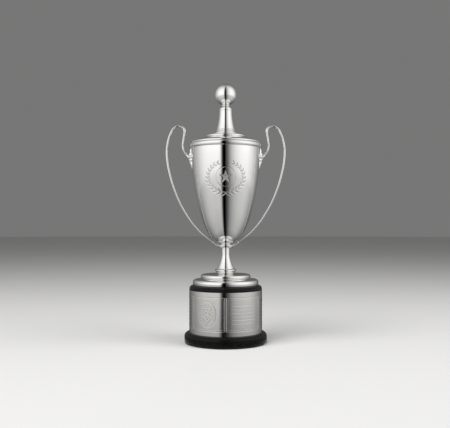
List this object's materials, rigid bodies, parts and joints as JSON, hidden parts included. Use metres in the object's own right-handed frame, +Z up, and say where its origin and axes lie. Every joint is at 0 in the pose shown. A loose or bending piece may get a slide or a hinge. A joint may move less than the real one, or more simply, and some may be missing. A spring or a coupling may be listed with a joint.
{
  "type": "covered cup trophy",
  "caption": "Tall covered presentation cup with slim loop handles, a ball finial on a lift-off lid, and a round black plinth with a silver band.",
  "frame": {"origin": "centre of the felt underside, at the height of the surface that the plinth stands on", "axes": "+Z up along the cup's axis; the engraved front faces -Y; the handles lie along +X and -X"},
  "size_m": [0.2326, 0.1594, 0.501],
  "materials": {
    "polished_silver": "mirror-polished silver plate",
    "satin_silver": "satin silver, brushed round the band and engraved",
    "black_lacquer": "turned wood, gloss black lacquer",
    "core_wood": "plain turned hardwood, unseen",
    "felt": "dark green baize",
    "brass": "plain machined brass",
    "zinc_steel": "zinc-plated steel"
  },
  "bodies": {
    "cup": {"base_felt": "felt", "plinth_foot": "black_lacquer", "plinth_drum": "core_wood", "plinth_band": "satin_silver", "band_pin_1": "polished_silver", "band_pin_2": "polished_silver", "band_pin_3": "polished_silver", "band_pin_4": "polished_silver", "band_pin_5": "polished_silver", "band_pin_6": "polished_silver", "plinth_cap": "black_lacquer", "plinth_screw_1": "zinc_steel", "plinth_screw_2": "zinc_steel", "plinth_screw_3": "zinc_steel", "foot_flange": "polished_silver", "foot_step": "polished_silver", "stem": "polished_silver", "stem_collar": "polished_silver", "knop": "polished_silver", "bowl": "polished_silver", "rim_moulding": "polished_silver", "tie_rod": "brass", "base_washer": "brass", "base_nut": "brass", "bowl_washer": "brass", "bowl_nut": "brass", "handle_left": "polished_silver", "handle_right": "polished_silver", "handle_bracket_left": "polished_silver", "handle_bracket_right": "polished_silver", "handle_ferrule_left": "polished_silver", "handle_ferrule_right": "polished_silver", "handle_foot_left": "polished_silver", "handle_foot_right": "polished_silver"},
    "lid": {"lid_dome": "polished_silver", "lid_bezel": "polished_silver", "lid_plate": "polished_silver", "finial_base": "polished_silver", "finial_spire": "polished_silver", "finial_neck": "polished_silver", "finial_ball": "polished_silver", "finial_stud": "brass", "finial_washer": "brass", "finial_nut": "brass"}
  },
  "joints": [
    {"name": "lid_lift", "type": "slide", "parent": "cup", "child": "lid", "axis": [0, 0, 1], "range_m": [0, 0.08]}
  ]
}
